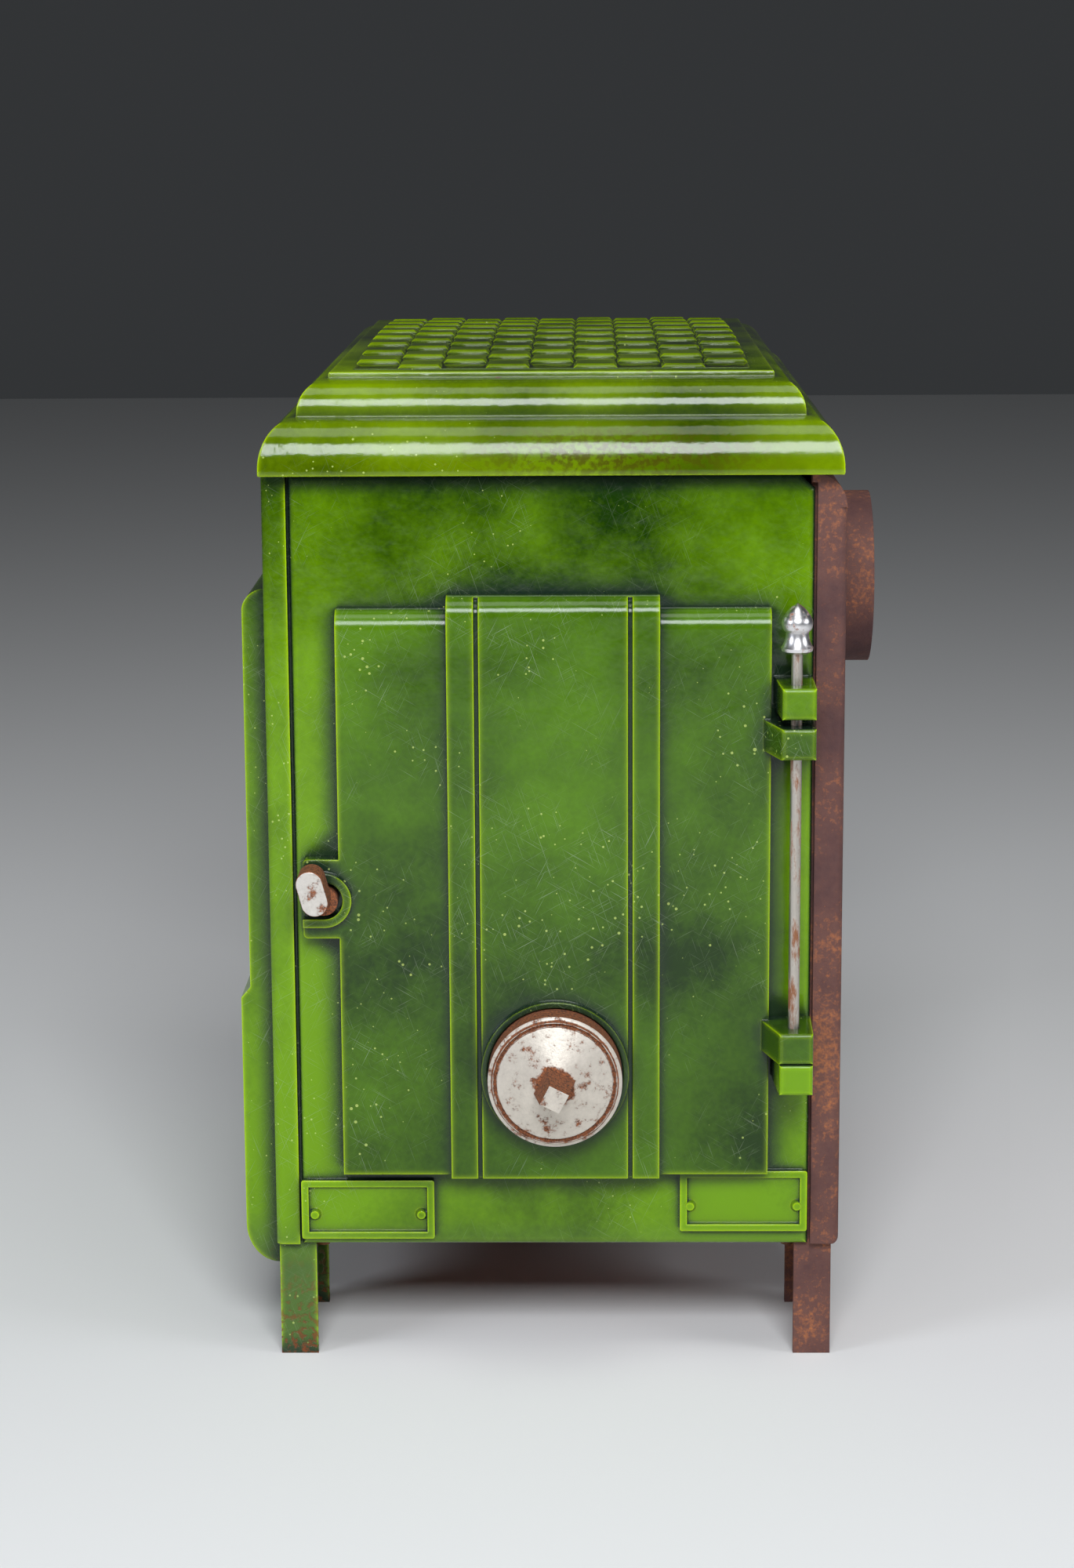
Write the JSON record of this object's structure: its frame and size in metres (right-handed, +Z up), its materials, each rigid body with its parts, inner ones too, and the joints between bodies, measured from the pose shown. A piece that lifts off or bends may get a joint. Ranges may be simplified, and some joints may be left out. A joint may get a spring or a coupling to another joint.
{
  "type": "wood stove",
  "caption": "Long enamelled cast-iron wood stove with stepped chequered top, hinged fire door, screw air valve and side flue collar.",
  "frame": {"origin": "floor level under the middle of the stove's overall box", "axes": "+Z up, -Y towards the person at the fire door, +X out of the flue collar"},
  "size_m": [0.4226, 0.6554, 0.6477],
  "materials": {
    "enamel": "gloss",
    "rusty_iron": "rusty",
    "fire_iron": "sooty",
    "worn_iron": "worn",
    "steel": "dull",
    "nickel": "polished",
    "rope": "braided"
  },
  "bodies": {
    "stove": {"facade_panel": "enamel", "back_panel": "rusty_iron", "door_end_panel": "enamel", "far_end_panel": "enamel", "base_plate": "rusty_iron", "top_cover": "enamel", "hearth_plate": "fire_iron", "burn_plate_facade": "fire_iron", "burn_plate_back": "fire_iron", "burn_plate_end": "fire_iron", "baffle_plate": "fire_iron", "ember_guard": "fire_iron", "tie_rods": "rusty_iron", "tie_nuts": "rusty_iron", "flue_collar": "rusty_iron", "collar_bolts": "rusty_iron", "collar_rope": "rope"},
    "door": {"door": "enamel", "door_rope": "rope", "door_liner": "rusty_iron", "door_liner_screws": "steel", "air_valve_guide_pin": "steel"},
    "latch": {"latch_handle": "worn_iron", "latch_tongue": "rusty_iron", "latch_nut": "rusty_iron"},
    "valve_carrier": {"air_valve_tab_washer": "steel"},
    "air_valve": {"air_valve_disc": "worn_iron", "air_valve_spindle": "steel", "air_valve_stop_nut": "rusty_iron"},
    "hinge_pin": {"hinge_rod": "steel", "hinge_finial": "nickel"}
  },
  "joints": [
    {"name": "door_hinge", "type": "hinge", "parent": "stove", "child": "door", "pos_m": [0.14275, -0.27835, 0.32], "axis": [0, 0, 1], "range_deg": [0, 115]},
    {"name": "latch_turn", "type": "hinge", "parent": "door", "child": "latch", "pos_m": [-0.15335, -0.26735, 0.3109], "axis": [0, -1, 0], "range_deg": [0, 90]},
    {"name": "air_valve_travel", "type": "slide", "parent": "door", "child": "valve_carrier", "axis": [0, -1, 0], "range_m": [0, 0.01]},
    {"name": "air_valve_spin", "type": "hinge", "parent": "valve_carrier", "child": "air_valve", "pos_m": [-0.00775, -0.26735, 0.1987], "axis": [0, -1, 0], "range_deg": [0, 900]},
    {"name": "hinge_rod_lift", "type": "slide", "parent": "stove", "child": "hinge_pin", "axis": [0, 0, 1], "range_m": [0, 0.28]}
  ],
  "couplings": [
    {"joint": "air_valve_travel", "follows": "air_valve_spin", "m_per_rad": 0.00063662}
  ]
}
